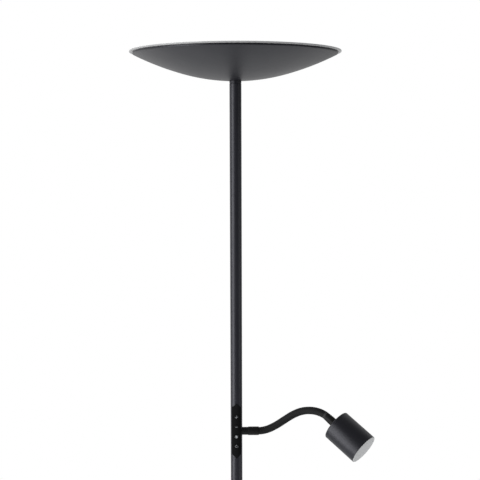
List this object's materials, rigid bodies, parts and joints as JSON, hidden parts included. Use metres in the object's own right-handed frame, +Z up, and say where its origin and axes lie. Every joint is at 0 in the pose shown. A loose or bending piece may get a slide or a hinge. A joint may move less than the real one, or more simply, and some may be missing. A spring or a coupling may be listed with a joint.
{
  "type": "torchiere floor lamp with reading light",
  "caption": "Floor-standing uplighter with a shallow bowl and opal disc on a slim pole, a push-button strip and a bendable neck that carries a small cylindrical reading light.",
  "frame": {"origin": "centre of the base pad's underside, on the pole's axis, at floor level", "axes": "+Z up the pole, -Y towards the side with the control strip, +X the side that the neck leaves"},
  "size_m": [0.3238, 0.2816, 1.7996],
  "materials": {
    "black_powder_coat": "satin black powder coat",
    "cast_weight": "rough cast, unpainted",
    "foam_pad": "dense closed-cell pad",
    "zinc_steel": "zinc-plated",
    "black_moulding": "fine matt mould texture",
    "black_button": "fine matt mould texture",
    "grommet_rubber": "smooth rubber",
    "wire_jacket": "smooth cable jacket",
    "circuit_board": "green solder mask",
    "white_board": "white solder mask on aluminium",
    "light_chip": "phosphor-filled chips",
    "raw_aluminium": "mill finish",
    "reflector_white": "matt white",
    "opal_plastic": "opal, softly matt",
    "neck_core": "moulded nylon",
    "neck_sleeve": "matt soft-touch sleeve"
  },
  "bodies": {
    "lamp": {"base_pad": "foam_pad", "base_weight": "cast_weight", "base_cover": "black_powder_coat", "base_nipple": "zinc_steel", "cord_grommet": "grommet_rubber", "terminal_block": "black_moulding", "foot_ring": "black_powder_coat", "inner_lead": "wire_jacket", "pole_lower": "black_powder_coat", "pole_middle": "black_powder_coat", "pole_upper": "black_powder_coat", "pole_inserts": "zinc_steel", "pole_studs": "zinc_steel", "top_collar": "black_powder_coat", "control_fascia": "black_moulding", "control_board": "circuit_board", "tact_switches": "black_moulding", "neck_socket": "black_powder_coat", "root_ferrule": "black_powder_coat", "root_core": "neck_core", "uplight_bowl": "black_powder_coat", "spreader_plate": "raw_aluminium", "uplight_board": "white_board", "uplight_lights": "light_chip", "plate_pillars": "zinc_steel", "plate_screws": "zinc_steel", "diffuser_posts": "black_moulding", "light_driver": "black_moulding", "uplight_diffuser": "opal_plastic", "top_nipple": "zinc_steel", "thread_washers": "zinc_steel", "thread_nuts": "zinc_steel", "light_wire": "wire_jacket"},
    "neck_link_1": {"link_core_1": "neck_core", "link_sleeve_1": "neck_sleeve"},
    "neck_link_2": {"link_core_2": "neck_core", "link_sleeve_2": "neck_sleeve"},
    "neck_link_3": {"link_core_3": "neck_core", "link_sleeve_3": "neck_sleeve"},
    "neck_link_4": {"link_core_4": "neck_core", "link_sleeve_4": "neck_sleeve"},
    "neck_link_5": {"link_core_5": "neck_core", "link_sleeve_5": "neck_sleeve"},
    "neck_link_6": {"link_core_6": "neck_core", "link_sleeve_6": "neck_sleeve"},
    "neck_link_7": {"link_core_7": "neck_core", "link_sleeve_7": "neck_sleeve"},
    "reading_head": {"tip_core": "neck_core", "tip_sleeve": "neck_sleeve", "tip_ferrule": "black_powder_coat", "head_shell": "black_powder_coat", "head_heat_sink": "raw_aluminium", "head_light_board": "white_board", "head_lights": "light_chip", "head_reflector": "reflector_white", "head_face": "opal_plastic"},
    "button_plus": {"button_plus": "black_button"},
    "button_minus": {"button_minus": "black_button"},
    "button_light": {"button_light": "black_button"},
    "button_power": {"button_power": "black_button"}
  },
  "joints": [
    {"name": "root_bend", "type": "hinge", "parent": "lamp", "child": "neck_link_1", "pos_m": [0.03479, -0.00004, 1.28044], "axis": [-0.0212, -0.9998, 0], "range_deg": [-18, 18]},
    {"name": "root_swing", "type": "hinge", "parent": "neck_link_1", "child": "neck_link_2", "pos_m": [0.04803, -0.00083, 1.2847], "axis": [-0.454, 0.0468, 0.8898], "range_deg": [-18, 18]},
    {"name": "root_bend_2", "type": "hinge", "parent": "neck_link_2", "child": "neck_link_3", "pos_m": [0.05985, -0.00257, 1.29196], "axis": [-0.1916, -0.9815, 0], "range_deg": [-18, 18]},
    {"name": "root_swing_2", "type": "hinge", "parent": "neck_link_3", "child": "neck_link_4", "pos_m": [0.07092, -0.00526, 1.3001], "axis": [-0.5595, 0.1631, 0.8126], "range_deg": [-18, 18]},
    {"name": "tip_bend", "type": "hinge", "parent": "neck_link_4", "child": "neck_link_5", "pos_m": [0.08222, -0.00909, 1.3074], "axis": [-0.3582, -0.9336, 0], "range_deg": [-18, 18]},
    {"name": "tip_swing", "type": "hinge", "parent": "neck_link_5", "child": "neck_link_6", "pos_m": [0.0943, -0.01427, 1.31206], "axis": [-0.1849, 0.0872, 0.9789], "range_deg": [-18, 18]},
    {"name": "tip_bend_2", "type": "hinge", "parent": "neck_link_6", "child": "neck_link_7", "pos_m": [0.10666, -0.02067, 1.31313], "axis": [-0.4915, -0.8709, 0], "range_deg": [-18, 18]},
    {"name": "tip_swing_2", "type": "hinge", "parent": "neck_link_7", "child": "reading_head", "pos_m": [0.11828, -0.02782, 1.31025], "axis": [0.2947, -0.198, 0.9348], "range_deg": [-18, 18]},
    {"name": "plus_press", "type": "slide", "parent": "lamp", "child": "button_plus", "axis": [0, 1, 0], "range_m": [0, 0.0006], "stiffness_N_per_m": 300, "springref_m": -0.0008},
    {"name": "minus_press", "type": "slide", "parent": "lamp", "child": "button_minus", "axis": [0, 1, 0], "range_m": [0, 0.0006], "stiffness_N_per_m": 300, "springref_m": -0.0008},
    {"name": "light_press", "type": "slide", "parent": "lamp", "child": "button_light", "axis": [0, 1, 0], "range_m": [0, 0.0006], "stiffness_N_per_m": 300, "springref_m": -0.0008},
    {"name": "power_press", "type": "slide", "parent": "lamp", "child": "button_power", "axis": [0, 1, 0], "range_m": [0, 0.0006], "stiffness_N_per_m": 300, "springref_m": -0.0008}
  ],
  "couplings": [
    {"joint": "root_bend_2", "follows": "root_bend", "ratio": 1},
    {"joint": "root_swing_2", "follows": "root_swing", "ratio": 1},
    {"joint": "tip_bend_2", "follows": "tip_bend", "ratio": 1},
    {"joint": "tip_swing_2", "follows": "tip_swing", "ratio": 1}
  ]
}
